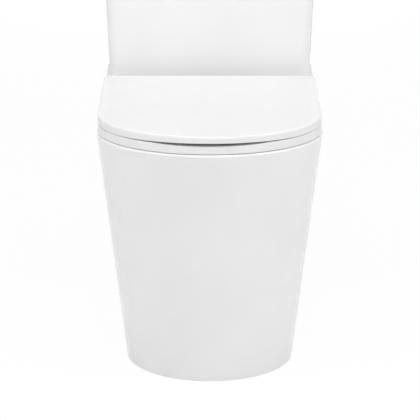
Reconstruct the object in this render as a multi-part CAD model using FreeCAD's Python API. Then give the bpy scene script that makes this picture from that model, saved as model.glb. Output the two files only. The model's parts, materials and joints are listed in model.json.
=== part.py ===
import FreeCAD, Part

import math
import os

from FreeCAD import Vector

# Close coupled toilet: a skirted pan, its soft close seat and lid, and the cistern on its deck.
# Millimetres. +X is to the right seen from the front, +Y towards the wall, +Z up.
# The origin is on the floor, midway between the wall and the front tip of the rim.

# Pan, outside
projection = 650.0  # wall to the front tip of the rim
rim_height = 400.0
rim_width = 362.0
rim_nose = 162.0  # length of the half ellipse at the front of the rim
foot_width = 275.0
foot_nose = 148.0
foot_setback = 88.0  # the foot's front tip behind the rim's
rim_edge_radius = 3.0
skirt_wall = 12.0
top_plate = 16.0  # thickness of the rim and of the deck under the cistern

# Bowl and trap
bowl_width = 266.0
bowl_length = 325.0
bowl_front_land = 40.0  # width of the rim at its front tip
bowl_widest = 175.0  # from the bowl's front to its widest place
bowl_lip_radius = 6.0
bowl_wall = 11.0
sump_from_front = 285.0  # front tip of the rim to the axis of the sump
sump_height = 150.0  # where the bowl has narrowed to the trap's bore
trap_bore = 80.0
spigot_diameter = 102.0
trap_bend_height = 112.0  # centres of the lower bend
trap_lower_bend = 56.0
trap_upper_bend = 54.0
outlet_height = 190.0
outlet_from_wall = 110.0
# How the bowl narrows: share of its height above the sump, share of its spread beyond the bore
bowl_profile = ((1.0, 1.0), (0.9, 0.99), (0.72, 0.93), (0.52, 0.76),
                (0.34, 0.5), (0.18, 0.23), (0.07, 0.04), (0.0, 0.0))

# Flush way from the cistern to the back of the bowl
inlet_from_wall = 85.0
inlet_bore = 76.0
channel_width = 60.0
channel_height = 30.0
channel_top = 32.0  # below the deck's top face
channel_wall = 10.0
channel_corner = 8.0
doughnut_seat_diameter = 114.0
doughnut_seat_depth = 12.0

# Seat and lid
seat_width = 359.0
seat_inset = 1.5  # the seat's front tip behind the rim's
seat_gap = 3.0  # rim to ring, the height of the ring's buffers
ring_thickness = 12.0
lid_gap = 4.0  # ring to lid, the height of the lid's buffers
lid_thickness = 10.0
seat_edge_radius = 1.5
seat_corner_radius = 8.0
seat_lip_width = 6.0
ring_lip = 1.8  # the lip round the ring, below its underside
lid_lip = 3.1
lid_crown_width = 3.2  # how far in from its edge the lid's top begins to fall away
lid_crown_drop = 3.2
lid_crown_back = 0.5  # the same at the lid's back edge, as a share
lid_crown_steps = 5
finger_width = 270.0  # of the shallow scoops in front, to lift the lid by
lid_finger_rise = 2.5  # the scoop's middle above the lower edge of the lid's lip
ring_finger_dip = 2.2  # the scoop's middle below the ring's top
ring_finger_run = 50.0  # from the ring's front tip to where its scoop has run out
lid_recess = 3.0
lid_border = 26.0
ring_opening_width = 214.0
ring_opening_length = 262.0
ring_front_width = 56.0  # width of the ring at its front tip
ring_opening_widest = 144.0
ring_inner_radius = 5.0
ring_buffer = 14.0
lid_buffer = 11.0
buffer_angle = 50.0  # of the front buffers, round the nose

# Seat hinge
hinge_spacing = 155.0
hinge_from_wall = 229.0
hinge_axis_height = 11.4  # above the rim
hinge_barrel = 14.0
hinge_pin = 7.0
hinge_post_width = 20.0
hinge_knuckle_width = 21.0
hinge_side_gap = 1.0
hinge_pin_inset = 2.0
hinge_foot = 36.0
hinge_foot_height = 4.0
hinge_foot_radius = 1.0
hinge_pillar_inset = 1.0  # from the barrel's front and back
hinge_plate = 32.0
hinge_plate_thickness = 2.5
hinge_hole = 15.0
hinge_screw = 6.0
hinge_screw_head = 11.0
hinge_plug_length = 27.0
hinge_nut = 10.0  # across the flats
hinge_nut_height = 6.0
lid_back_edge = 5.0  # lid's back edge behind the hinge axis
ring_back_gap = 3.0  # hinge foot to the ring's back edge
damper_diameter = 11.0
hinge_arm_step = 2.0  # from the ring's underside up to its hinge arms
hinge_web_inset = 2.0  # from the lid's back edge

# Cistern
cistern_gap = 4.0  # deck to the tank's underside, the thickness of the pads
tank_height = 366.0
tank_bottom_width = 341.0
tank_top_width = 373.5
tank_bottom_depth = 184.0
tank_top_depth = 179.0
tank_from_wall = 5.0
tank_wall = 9.0
tank_floor = 12.0
tank_front_radius = 16.0
tank_back_radius = 11.0
tank_bottom_radius = 6.0
cover_height = 28.0
cover_plate = 12.0
cover_overhang = 3.0
cover_edge_radius = 7.0
cover_lip = 8.0
cover_lip_width = 5.0
cover_lip_gap = 2.0
wall_hole = 8.0
wall_hole_spacing = 200.0
wall_hole_below_top = 40.0

# Flush buttons
bezel_diameter = 66.0
bezel_height = 3.0
bezel_edge_radius = 1.2
sleeve_diameter = 58.0
sleeve_wall = 2.1
sleeve_length = 42.0
sleeve_nut = 70.0  # across the flats
sleeve_nut_height = 9.0
button_proud = 1.5  # above the bezel
button_thickness = 6.0
button_edge_radius = 0.8
button_guide = 4.0
button_guide_drop = 10.0  # below the buttons when they are pressed
button_travel = 8.0
button_split = -8.0  # where the gap between the two buttons lies, from the centre
button_gap = 0.8
button_stem = 8.0
push_rod = 5.0
full_rod_offset = 16.0
half_rod_offset = (-13.0, 14.0)

# Flush valve
valve_tail = 58.0
valve_bore = 48.0
valve_tail_drop = 32.0  # below the tank's underside
valve_flange = 88.0
valve_flange_height = 6.0
valve_seat_lip = 3.0
valve_seat_width = 3.5
valve_basket = 80.0
valve_shell = 3.0
valve_basket_height = 45.0
valve_tower_height = 170.0
valve_window_width = 36.0
basket_window_sill = 5.0
basket_window_head = 10.0
overflow_window = 20.0
valve_cap = 4.0
valve_back_nut = 70.0  # across the flats
valve_back_nut_height = 14.0
overflow_diameter = 34.0
overflow_wall = 2.5
overflow_below_cap = 20.0
seal_thickness = 3.0
seal_diameter = 64.0
seal_carrier = 60.0
valve_gasket = 84.0
lift_stem = 7.0
lift_arm = 20.0
lift_collar = 14.0
lift_collar_height = 4.0
rocker_height = 16.0  # its pivot above the tower's cap
rocker_thickness = 5.0
rocker_width = 16.0
rocker_pin = 5.0
rocker_cheek = 14.0
rocker_cheek_above = 6.0  # above the pivot
plug_lift = 10.4  # travel of the flush plug
float_ring_diameter = 62.0
float_ring_height = 55.0
float_ring_above_seat = 92.0

# Fill valve
fill_offset = 105.0  # to the left of the middle
fill_from_wall = 50.0
fill_shank = 20.8
fill_bore = 10.0
fill_shank_drop = 36.0
fill_groove = 3.0  # run out of the thread below the nut
fill_groove_depth = 0.8
fill_flange = 36.0
fill_riser_height = 250.0
fill_riser = 22.0
fill_head = 42.0
fill_head_height = 26.0
fill_head_radius = 2.0
fill_gasket = 34.0
fill_nut = 30.0  # across the flats
fill_nut_height = 10.0
float_cup = 52.0
float_cup_height = 70.0
float_cup_wall = 2.5
float_cup_below_head = 38.0
float_travel = 10.0
float_link = 3.0
float_link_collar = 7.2
float_arm = 30.0
float_lever_thickness = 4.0
float_lever_width = 9.0
float_lever_height = 14.0  # its pivot above the head
float_lever_offset = 6.0  # its pivot from the riser's axis
float_lever_tail = 8.0
float_lever_tip = 11.0  # beyond the link
float_lever_cheek = 10.0
link_slot_in = 2.5  # slot for the link, towards the pivot
link_slot_out = 6.0

# Fixings
deck_access_hole = 48.0
gasket_thickness = 3.0
coupling_bolt = 8.0
coupling_hole = 12.0
coupling_spacing = 168.0
coupling_washer = 26.0
coupling_steel_washer = 24.0
coupling_washer_thickness = 1.6
coupling_rubber = 4.0
coupling_pad = 30.0
coupling_head = 13.0  # across the flats
coupling_head_height = 5.5
coupling_tail = 30.0  # below the deck
wing_nut_height = 9.0
wing_nut_span = 34.0
wing_thickness = 3.0
bracket_from_wall = 135.0
bracket_length = 44.0
bracket_reach = 38.0
bracket_height = 48.0
bracket_thickness = 5.0
bracket_floor_hole = 7.0
side_screw = 6.0
side_screw_height = 30.0
side_screw_length = 26.0
side_screw_head = 11.0
side_screw_head_height = 3.0
side_cap = 18.0
side_cap_height = 5.0

# Clearances
slack = 0.3  # between pieces that move past each other
running = 0.05  # radial, a pin in its bore
loose = 0.5  # radial, a bolt or tail in its hole
beyond = 1.0  # how far a cutting tool passes the face it opens

# Places worked out from the sizes above
front_y = -projection / 2
wall_y = projection / 2
rim_half = rim_width / 2
foot_half = foot_width / 2
side_lean = math.atan2(rim_half - foot_half, rim_height)
front_lean = math.atan2(foot_setback, rim_height)
deck_under = rim_height - top_plate
seat_tip = front_y + seat_inset
ring_low = rim_height + seat_gap
ring_high = ring_low + ring_thickness
lid_low = ring_high + lid_gap
lid_high = lid_low + lid_thickness
hinge_y = wall_y - hinge_from_wall
hinge_z = rim_height + hinge_axis_height
hinge_x = hinge_spacing / 2
ring_back = hinge_y - hinge_foot / 2 - ring_back_gap
seat_nose = rim_nose - seat_inset
inlet_y = wall_y - inlet_from_wall
tank_low = rim_height + cistern_gap
tank_high = tank_low + tank_height
tank_back = wall_y - tank_from_wall
water_floor = tank_low + tank_floor
cover_high = tank_high + cover_height
fill_x = -fill_offset
fill_y = wall_y - fill_from_wall


def line(a, b):
    return Part.LineSegment(a, b).toShape()


def quarter(start, corner, end):
    """A quarter of an ellipse from start to end, tangent to the two lines that meet at corner."""
    curve = Part.BezierCurve()
    curve.setPoles([start, corner, end])
    curve.setWeight(2, math.sqrt(0.5))
    return curve.toShape()


def d_outline(half, tip, nose, back, z, corner=0.0):
    """Outline of the pan and of the seat: a half ellipse in front, straight sides, a square or rounded back."""
    side = tip + nose
    right, left = Vector(half, side, z), Vector(-half, side, z)
    right_back, left_back = Vector(half, back, z), Vector(-half, back, z)
    point = Vector(0, tip, z)
    front = [quarter(right, Vector(half, tip, z), point), quarter(point, Vector(-half, tip, z), left)]
    if not corner:
        return Part.Wire(front + [line(left, left_back), line(left_back, right_back), line(right_back, right)])
    across, along = Vector(corner, 0, 0), Vector(0, corner, 0)
    return Part.Wire(front + [
        line(left, left_back - along),
        quarter(left_back - along, left_back, left_back + across),
        line(left_back + across, right_back - across),
        quarter(right_back - across, right_back, right_back - along),
        line(right_back - along, right),
    ])


def egg_outline(centre, half, front, back, z):
    """Four quarter ellipses: longer towards the front than towards the back."""
    right, left = Vector(half, centre, z), Vector(-half, centre, z)
    ahead, behind = Vector(0, centre - front, z), Vector(0, centre + back, z)
    return Part.Wire([
        quarter(right, Vector(half, centre - front, z), ahead),
        quarter(ahead, Vector(-half, centre - front, z), left),
        quarter(left, Vector(-half, centre + back, z), behind),
        quarter(behind, Vector(half, centre + back, z), right),
    ])


def rounded_rectangle(half, front, back, front_radius, back_radius, z):
    """A rectangle that is symmetric about X = 0, with its own corner radius in front and behind."""
    edges = []
    corners = ((half, front, -90, front_radius), (half, back, 0, back_radius),
               (-half, back, 90, back_radius), (-half, front, 180, front_radius))
    ends = []
    for x, y, start, radius in corners:
        centre = Vector(x - math.copysign(radius, x), y + (radius if y == front else -radius), z)
        arc = Part.Circle(centre, Vector(0, 0, 1), radius)
        edge = Part.Arc(arc, math.radians(start), math.radians(start + 90)).toShape()
        ends.append((edge.firstVertex().Point, edge.lastVertex().Point))
        edges.append(edge)
    sides = [line(ends[i][1], ends[(i + 1) % 4][0]) for i in range(4)]
    return Part.Wire([piece for pair in zip(edges, sides) for piece in pair])


def slab(wire, height):
    return Part.Face(wire).extrude(Vector(0, 0, height))


def rod(diameter, low, high, x=0.0, y=0.0):
    """A round bar along Z."""
    return Part.makeCylinder(diameter / 2, high - low, Vector(x, y, low))


def tube(outer, inner, low, high, x=0.0, y=0.0):
    return rod(outer, low, high, x, y).cut(rod(inner, low - beyond, high + beyond, x, y))


def bar(diameter, start, end, direction):
    """A round bar from one distance to another along a direction, as (origin, unit vector)."""
    origin, along = direction
    return Part.makeCylinder(diameter / 2, end - start, origin + along * start, along)


def disc(diameter, y, z):
    """A flat round face on the middle plane."""
    return Part.Face(Part.Wire(Part.makeCircle(diameter / 2, Vector(0, y, z), Vector(0, 0, 1))))


def box(x, y, z):
    """A box from its limits along each axis."""
    return Part.makeBox(x[1] - x[0], y[1] - y[0], z[1] - z[0], Vector(x[0], y[0], z[0]))


def hexagon(across_flats, low, high, x=0.0, y=0.0):
    radius = across_flats / math.sqrt(3)
    corners = [Vector(x + radius * math.cos(math.radians(a)), y + radius * math.sin(math.radians(a)), low)
               for a in range(0, 361, 60)]
    return slab(Part.makePolygon(corners), high - low)


def mirrored(shape):
    return shape.mirror(Vector(0, 0, 0), Vector(1, 0, 0))


def edges_at(shape, z, where=lambda edge: True):
    """The edges that lie flat at a height."""
    return [e for e in shape.Edges
            if abs(e.BoundBox.ZMin - z) < 1e-4 and abs(e.BoundBox.ZMax - z) < 1e-4 and where(e)]


def save(name, *solids):
    shape = solids[0] if len(solids) == 1 else Part.makeCompound(list(solids))
    shape.exportStep(os.path.join("parts", name + ".step"))
    volume = sum(s.Volume for s in shape.Solids)
    print(f"{name:24s} {len(shape.Solids)} solids {volume / 1000:9.2f} cm3, valid {shape.isValid()}")


# Pan

def rounding_loss(lean):
    """How far the rounded rim stays inside the sharp corner of a leaning wall and the top."""
    return rim_edge_radius * (math.tan(lean) + 1 / math.cos(lean) - 1)


def skirt_half(z):
    """Half the skirt's width at a height."""
    sharp = rim_half + rounding_loss(side_lean)
    return foot_half + (sharp - foot_half) * z / rim_height


def skirt_side(z):
    """Where the skirt's nose runs into its straight sides at a height."""
    foot_side = front_y + foot_setback + foot_nose
    return foot_side + (front_y + rim_nose - foot_side) * z / rim_height


def skirt_wire(z, inset, back):
    """The skirt's outline at a height: it tapers evenly from the rim down to the foot."""
    foot_tip = front_y + foot_setback
    sharp_tip = front_y - rounding_loss(front_lean)
    tip = foot_tip + (sharp_tip - foot_tip) * z / rim_height + inset
    return d_outline(skirt_half(z) - inset, tip, skirt_side(z) - tip, back, z)


def skirt_form(inset, low, high, back):
    """The skirt as a solid between two heights: a rounded nose and flat sides behind it."""
    join = skirt_side(low) + skirt_wall
    nose = Part.makeLoft([skirt_wire(z, inset, join) for z in (low, high)], True, True)
    ends = [Vector(side * (skirt_half(z) - inset), join, z)
            for side, z in ((1, low), (1, high), (-1, high), (-1, low), (1, low))]
    sides = Part.Face(Part.makePolygon(ends)).extrude(Vector(0, back - join, 0))
    return nose.fuse(sides).removeSplitter()


def bowl(offset, drop):
    """The bowl as a solid: its inside, or with an offset its outside."""
    bore = trap_bore / 2
    front_reach = bowl_widest
    back_reach = bowl_length - bowl_widest
    widest_y = front_y + bowl_front_land + bowl_widest
    sump_y = front_y + sump_from_front
    wires = []
    for height, spread in bowl_profile:
        z = sump_height + (rim_height - sump_height) * height - drop * (1 - height)
        centre = sump_y + (widest_y - sump_y) * spread
        half = bore + (bowl_width / 2 - bore) * spread + offset
        front = bore + (front_reach - bore) * spread + offset
        back = bore + (back_reach - bore) * spread + offset
        wires.append(egg_outline(centre, half, front, back, z))
    return Part.makeLoft(wires, True, False)


def trap(diameter, extra=0.0):
    """The trap's way as a solid: down from the sump, round the lower bend, over the weir and out."""
    sump_y = front_y + sump_from_front
    rise_y = sump_y + 2 * trap_lower_bend
    weir_low = outlet_height - trap_upper_bend
    weir_y = rise_y + trap_upper_bend
    outlet_y = wall_y - outlet_from_wall
    down = rod(diameter, trap_bend_height, sump_height + extra, 0, sump_y)
    lower = disc(diameter, sump_y, trap_bend_height).revolve(
        Vector(0, sump_y + trap_lower_bend, trap_bend_height), Vector(1, 0, 0), 180)
    up = rod(diameter, trap_bend_height, weir_low, 0, rise_y)
    upper = disc(diameter, rise_y, weir_low).revolve(Vector(0, weir_y, weir_low), Vector(1, 0, 0), -90)
    out = bar(diameter, 0, outlet_y + extra - weir_y, (Vector(0, weir_y, outlet_height), Vector(0, 1, 0)))
    return down.fuse([lower, up, upper, out])


def flush_way(grown):
    """The way from the deck's inlet forward to the back of the bowl, or with growth its walls."""
    top = rim_height - channel_top + grown
    low = rim_height - channel_top - channel_height - grown
    bowl_back = front_y + bowl_front_land + bowl_length
    channel = box((-channel_width / 2 - grown, channel_width / 2 + grown),
                  (bowl_back - bowl_wall, inlet_y), (low, top))
    long_edges = [e for e in channel.Edges if e.BoundBox.YLength > channel_width]
    channel = channel.makeFillet(channel_corner + grown / 2, long_edges)
    return channel, low


def side_fixing():
    """A point on the skirt's right side and its outward direction, for the floor fixing screw."""
    lean = math.atan2(skirt_half(rim_height) - foot_half, rim_height)
    origin = Vector(skirt_half(side_screw_height), wall_y - bracket_from_wall, side_screw_height)
    return origin, Vector(math.cos(lean), 0, -math.sin(lean))


def below_deck(shape, low=0.0):
    """The part of a shape from a height up to the underside of the rim and deck."""
    return shape.common(box((-rim_width, rim_width), (-projection, projection), (low, deck_under)))


def pan_outside():
    outside = skirt_form(0, 0, rim_height, wall_y)
    rim_edges = edges_at(outside, rim_height, lambda e: e.CenterOfMass.y < wall_y - beyond)
    return outside.makeFillet(rim_edge_radius, rim_edges)


def pan_skirt():
    """The outer wall, open at the back and below."""
    hollow = skirt_form(skirt_wall, -beyond, rim_height, wall_y + beyond)
    screw_hole = bar(side_screw + 2 * loose, -2 * skirt_wall, skirt_wall, side_fixing())
    return below_deck(pan_outside()).cut(hollow).cut([screw_hole, mirrored(screw_hole)])


def pan_rim():
    """The rim and, behind it, the deck that carries the seat and the cistern."""
    plate = pan_outside().cut(below_deck(pan_outside(), -beyond)).cut(bowl(0, 0))
    lip = edges_at(plate, rim_height, lambda e: e.BoundBox.YMax < hinge_y
                   and e.BoundBox.YMin > front_y + bowl_front_land / 2)
    plate = plate.makeFillet(bowl_lip_radius, lip)
    under, over = deck_under - beyond, rim_height + beyond
    holes = [
        rod(inlet_bore, under, over, 0, inlet_y),
        rod(doughnut_seat_diameter, rim_height - doughnut_seat_depth, over, 0, inlet_y),
    ]
    for side in (-1, 1):
        holes.append(rod(hinge_hole, under, over, side * hinge_x, hinge_y))
        holes.append(rod(coupling_hole, under, over, side * coupling_spacing / 2, inlet_y))
        holes.append(rod(deck_access_hole, under, over, side * fill_offset, fill_y))
    return plate.cut(holes)


def pan_bowl():
    """The bowl below the rim, with the mouth of the flush way in its back."""
    wall = below_deck(bowl(bowl_wall, bowl_wall), sump_height)
    return wall.cut([bowl(0, 0), flush_way(0)[0]])


def pan_trap():
    """The trap, from the sump to the spigot."""
    bowl_outside = bowl(bowl_wall, bowl_wall)
    above_sump = box((-rim_width, rim_width), (-projection, projection), (sump_height, rim_height))
    tube_wall = trap(spigot_diameter).cut(bowl_outside.common(above_sump))
    return tube_wall.cut(trap(trap_bore, beyond))


def pan_flush_way():
    """The box and the boss that lead the flush from the cistern to the bowl."""
    outer, low = flush_way(channel_wall)
    inner, inlet_low = flush_way(0)
    boss = rod(doughnut_seat_diameter + 2 * channel_wall, low, deck_under, 0, inlet_y)
    inlet = rod(inlet_bore, inlet_low, rim_height, 0, inlet_y)
    return outer.fuse(boss).cut([inner, inlet, bowl(bowl_wall, bowl_wall)])


def floor_bracket():
    """The right hand bracket: a foot on the floor and an upright against the skirt's inside."""
    y = wall_y - bracket_from_wall

    def inside(z, inset=0.0):
        return Vector(skirt_half(z) - skirt_wall - inset, y - bracket_length / 2, z)

    toe = inside(0, bracket_reach)
    corners = [inside(0), inside(bracket_height), inside(bracket_height, bracket_thickness),
               inside(bracket_thickness, bracket_thickness), toe + Vector(0, 0, bracket_thickness),
               toe, inside(0)]
    bracket = Part.Face(Part.makePolygon(corners)).extrude(Vector(0, bracket_length, 0))
    floor_hole = rod(bracket_floor_hole, -beyond, bracket_thickness + beyond, floor_hole_x(), y)
    tapped = bar(side_screw + 2 * running, -2 * skirt_wall - bracket_thickness, 0, side_fixing())
    return bracket.cut([floor_hole, tapped])


def floor_hole_x():
    return foot_half - skirt_wall - (bracket_reach + bracket_thickness) / 2


def side_screw_body():
    place = side_fixing()
    head = bar(side_screw_head, 0, side_screw_head_height, place)
    return bar(side_screw, -side_screw_length, 0, place).fuse(head)


def side_cover():
    place = side_fixing()
    cap = bar(side_cap, 0, side_cap_height, place)
    outer = max(cap.Edges, key=lambda e: e.CenterOfMass.x)
    cap = cap.makeFillet(side_cap_height / 2, [outer])
    return cap.cut(bar(side_screw_head + 2 * slack, -beyond, side_screw_head_height + slack, place))


# Seat and lid

def hinge_line(diameter, left, right):
    """A round bar on the hinge's axis."""
    return bar(diameter, left, right, (Vector(0, hinge_y, hinge_z), Vector(1, 0, 0)))


inner_knuckle = (hinge_x - hinge_post_width / 2 - hinge_side_gap - hinge_knuckle_width,
                 hinge_x - hinge_post_width / 2 - hinge_side_gap)
outer_knuckle = (hinge_x + hinge_post_width / 2 + hinge_side_gap,
                 hinge_x + hinge_post_width / 2 + hinge_side_gap + hinge_knuckle_width)
pin_bore = hinge_pin + 2 * running
damper_bore = damper_diameter + 2 * running


def other_side(span):
    return -span[1], -span[0]


def nose_point(half, centre, front, angle=buffer_angle):
    """A point on the nose of an outline, an angle round from its side."""
    turn = math.radians(angle)
    return half * math.cos(turn), centre - front * math.sin(turn)


def seat_outline(inset, back, z, corner=seat_corner_radius):
    """The outline that the ring and the lid share, or one inset from it."""
    return d_outline(seat_width / 2 - inset, seat_tip + inset, seat_nose - inset, back, z, corner)


def seat_lip(low, high):
    """The lip under the edge of the ring or of the lid, open towards the hinge."""
    back = ring_back - seat_corner_radius
    lip = slab(seat_outline(0, back, low, 0), high - low)
    return lip.cut(slab(seat_outline(seat_lip_width, back + beyond, low - beyond, 0), high - low + 2 * beyond))


def arc_radius(width, rise):
    """Radius of a shallow arc from its width and its height."""
    return (width ** 2 / 4 + rise ** 2) / (2 * rise)


def lid_scoop():
    """A wide shallow hollow in the lid's lip."""
    radius = arc_radius(finger_width, lid_finger_rise)
    start = Vector(0, seat_tip - beyond, lid_low - lid_lip + lid_finger_rise - radius)
    return Part.makeCylinder(radius, seat_nose / 2, start, Vector(0, 1, 0))


def ring_scoop():
    """A wide shallow hollow in the ring's front edge, which runs out on its top."""
    radius = arc_radius(finger_width, ring_finger_dip)
    run = Vector(0, ring_finger_run, ring_finger_dip)
    upward = Vector(0, -ring_finger_dip, ring_finger_run).normalize()
    start = Vector(0, seat_tip, ring_high - ring_finger_dip) + upward * radius - run
    return Part.makeCylinder(radius, 2 * run.Length, start, run)


def seat_ring():
    ring = slab(seat_outline(0, ring_back, ring_low), ring_thickness)
    ring = ring.makeFillet(seat_edge_radius, edges_at(ring, ring_high))
    opening = egg_outline(seat_tip + ring_front_width + ring_opening_widest, ring_opening_width / 2,
                          ring_opening_widest, ring_opening_length - ring_opening_widest, ring_low - beyond)
    ring = ring.cut(slab(opening, ring_thickness + 2 * beyond))
    middle = ring_front_width / 2
    inner = edges_at(ring, ring_high, lambda e: abs(e.CenterOfMass.x) < ring_opening_width / 2
                     and e.BoundBox.YMin > seat_tip + middle and e.BoundBox.YMax < ring_back - middle)
    ring = ring.makeFillet(ring_inner_radius, inner).fuse(seat_lip(ring_low - ring_lip, ring_low))
    ring = ring.cut(ring_scoop())
    bores = []
    for span, bore in ((inner_knuckle, pin_bore), (other_side(inner_knuckle), damper_bore)):
        arm = box(span, (ring_back - beyond, hinge_y), (ring_low + hinge_arm_step, ring_high))
        ring = ring.fuse([arm, hinge_line(hinge_barrel, *span)])
        bores.append(hinge_line(bore, span[0] - beyond, span[1] + beyond))
    return ring.cut(bores).removeSplitter()


def lid_crown(shoulder, back):
    """The lid's top, which falls away softly to its edge."""
    rounds = []
    for step in range(lid_crown_steps + 1):
        turn = math.pi / 2 * step / lid_crown_steps
        inset = lid_crown_width * (1 - math.cos(turn))
        z = shoulder + lid_crown_drop * math.sin(turn)
        rounds.append(seat_outline(inset, back - inset * lid_crown_back, z))
    return Part.makeLoft(rounds, True)


def seat_lid():
    back = hinge_y + lid_back_edge
    shoulder = lid_high - lid_crown_drop
    lid = slab(seat_outline(0, back, lid_low), shoulder - lid_low)
    lid = lid.fuse([lid_crown(shoulder, back), seat_lip(lid_low - lid_lip, lid_low)])
    recess = slab(seat_outline(lid_border, ring_back - lid_border, lid_low - beyond), lid_recess + beyond)
    lid = lid.cut([recess, lid_scoop()])
    bores = []
    for span, bore in ((outer_knuckle, damper_bore), (other_side(outer_knuckle), pin_bore)):
        web = box(span, (hinge_y - hinge_barrel / 2, back - hinge_web_inset), (hinge_z, lid_low + beyond))
        lid = lid.fuse([web, hinge_line(hinge_barrel, *span)])
        bores.append(hinge_line(bore, span[0] - beyond, span[1] + beyond))
    return lid.cut(bores).removeSplitter()


def ring_buffers():
    """Four pads on the rim, midway between its outer edge and the bowl."""
    bowl_centre = front_y + bowl_front_land + bowl_widest
    lip = bowl_lip_radius
    edge = rim_edge_radius
    outer = nose_point(rim_half - edge, front_y + rim_nose, rim_nose - edge)
    inner = nose_point(bowl_width / 2 + lip, bowl_centre, bowl_widest + lip)
    side_x = (rim_half - edge + bowl_width / 2 + lip) / 2
    spots = [((outer[0] + inner[0]) / 2, (outer[1] + inner[1]) / 2), (side_x, bowl_centre + bowl_width / 4)]
    pads = [rod(ring_buffer, rim_height, ring_low, x, y) for x, y in spots]
    return pads + [mirrored(pad) for pad in pads]


def lid_buffers():
    inset = lid_border / 2
    half = seat_width / 2 - inset
    spots = [nose_point(half, seat_tip + seat_nose, seat_nose - inset), (half, ring_back - 4 * lid_border)]
    pads = [rod(lid_buffer, ring_high, lid_low, x, y) for x, y in spots]
    return pads + [mirrored(pad) for pad in pads]


def hinge_post():
    half = hinge_post_width / 2
    post = rod(hinge_foot, rim_height, rim_height + hinge_foot_height, hinge_x, hinge_y)
    post = post.makeFillet(hinge_foot_radius, edges_at(post, rim_height + hinge_foot_height))
    deep = hinge_barrel / 2 - hinge_pillar_inset
    pillar = box((hinge_x - half, hinge_x + half), (hinge_y - deep, hinge_y + deep),
                 (rim_height + beyond, hinge_z))
    post = post.fuse([pillar, hinge_line(hinge_barrel, hinge_x - half, hinge_x + half)])
    pocket = rod(hinge_plate + 2 * slack, rim_height - beyond, rim_height + hinge_plate_thickness + slack,
                 hinge_x, hinge_y)
    bore = hinge_line(pin_bore, hinge_x - half - beyond, hinge_x + half + beyond)
    return post.cut([pocket, bore]).removeSplitter()


def hinge_pin_body():
    return hinge_line(hinge_pin, inner_knuckle[0] + hinge_pin_inset, outer_knuckle[1] - hinge_pin_inset)


def damper(span):
    return hinge_line(damper_diameter, *span).cut(hinge_line(pin_bore, span[0] - beyond, span[1] + beyond))


def screw_head(extra):
    """The countersunk head of a hinge screw, or with a little extra the seat for it."""
    return Part.makeCone(hinge_screw / 2 + extra, hinge_screw_head / 2 + extra, hinge_plate_thickness,
                         Vector(hinge_x, hinge_y, rim_height))


def hinge_plate_body():
    plate = rod(hinge_plate, rim_height, rim_height + hinge_plate_thickness, hinge_x, hinge_y)
    return plate.cut(screw_head(slack))


def hinge_screw_body():
    tail = rim_height - hinge_plug_length - hinge_nut_height - beyond
    return rod(hinge_screw, tail, rim_height, hinge_x, hinge_y).fuse(screw_head(0))


def hinge_plug():
    low = rim_height - hinge_plug_length
    return tube(hinge_hole - 2 * slack, hinge_screw + 2 * running, low, rim_height, hinge_x, hinge_y)


def hinge_nut_body():
    high = rim_height - hinge_plug_length
    low = high - hinge_nut_height
    nut = hexagon(hinge_nut, low, high, hinge_x, hinge_y)
    return nut.cut(rod(hinge_screw + 2 * running, low - beyond, high + beyond, hinge_x, hinge_y))


# Cistern

def tank_wire(z, inset=0.0):
    """The tank's outline at a height: wider towards the top, with its back upright."""
    share = (z - tank_low) / tank_height
    half = (tank_bottom_width + (tank_top_width - tank_bottom_width) * share) / 2
    depth = tank_bottom_depth + (tank_top_depth - tank_bottom_depth) * share
    return rounded_rectangle(half - inset, tank_back - depth + inset, tank_back - inset,
                             tank_front_radius - inset, tank_back_radius - inset, z)


def cistern_tank():
    tank = Part.makeLoft([tank_wire(tank_low), tank_wire(tank_high)], True, True)
    tank = tank.makeFillet(tank_bottom_radius, edges_at(tank, tank_low))
    inside = [tank_wire(z, tank_wall) for z in (water_floor, tank_high + beyond)]
    tank = tank.cut(Part.makeLoft(inside, True, True))
    below, above = tank_low - beyond, water_floor + beyond
    holes = [
        rod(valve_tail + 4 * loose, below, above, 0, inlet_y),
        rod(fill_shank + 2 * loose, below, above, fill_x, fill_y),
    ]
    for side in (-1, 1):
        holes.append(rod(coupling_hole, below, above, side * coupling_spacing / 2, inlet_y))
        start = Vector(side * wall_hole_spacing / 2, tank_back, tank_high - wall_hole_below_top)
        holes.append(bar(wall_hole, -tank_wall - beyond, beyond, (start, Vector(0, 1, 0))))
    return tank.cut(holes)


def cover_outline(inset, z):
    """The cover's outline: the tank's top outline with an overhang, or inset from it."""
    front_radius = max(tank_front_radius - inset, beyond)
    back_radius = max(tank_back_radius - inset, beyond)
    return rounded_rectangle(tank_top_width / 2 - inset, tank_back - tank_top_depth + inset,
                             tank_back - inset, front_radius, back_radius, z)


def cistern_cover():
    cover = slab(cover_outline(-cover_overhang, tank_high), cover_height)
    cover = cover.makeFillet(cover_edge_radius, edges_at(cover, cover_high))
    lip_inset = tank_wall + cover_lip_gap
    inner_inset = lip_inset + cover_lip_width
    lip = slab(cover_outline(lip_inset, tank_high - cover_lip), cover_lip + beyond)
    hollow = slab(cover_outline(inner_inset, tank_high - cover_lip - beyond),
                  cover_lip + beyond + cover_height - cover_plate)
    hole = rod(sleeve_diameter + 2 * loose, tank_high, cover_high + beyond, 0, inlet_y)
    return cover.fuse(lip).cut([hollow, hole]).removeSplitter()


# Flush buttons

sleeve_bore = sleeve_diameter - 2 * sleeve_wall
button_high = cover_high + bezel_height + button_proud
button_low = button_high - button_thickness
guide_high = button_low - button_travel - button_guide_drop
guide_low = guide_high - button_guide
stem_low = guide_low - button_travel - button_guide
full_spot = (full_rod_offset, inlet_y)
half_spot = (half_rod_offset[0], inlet_y + half_rod_offset[1])


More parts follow.
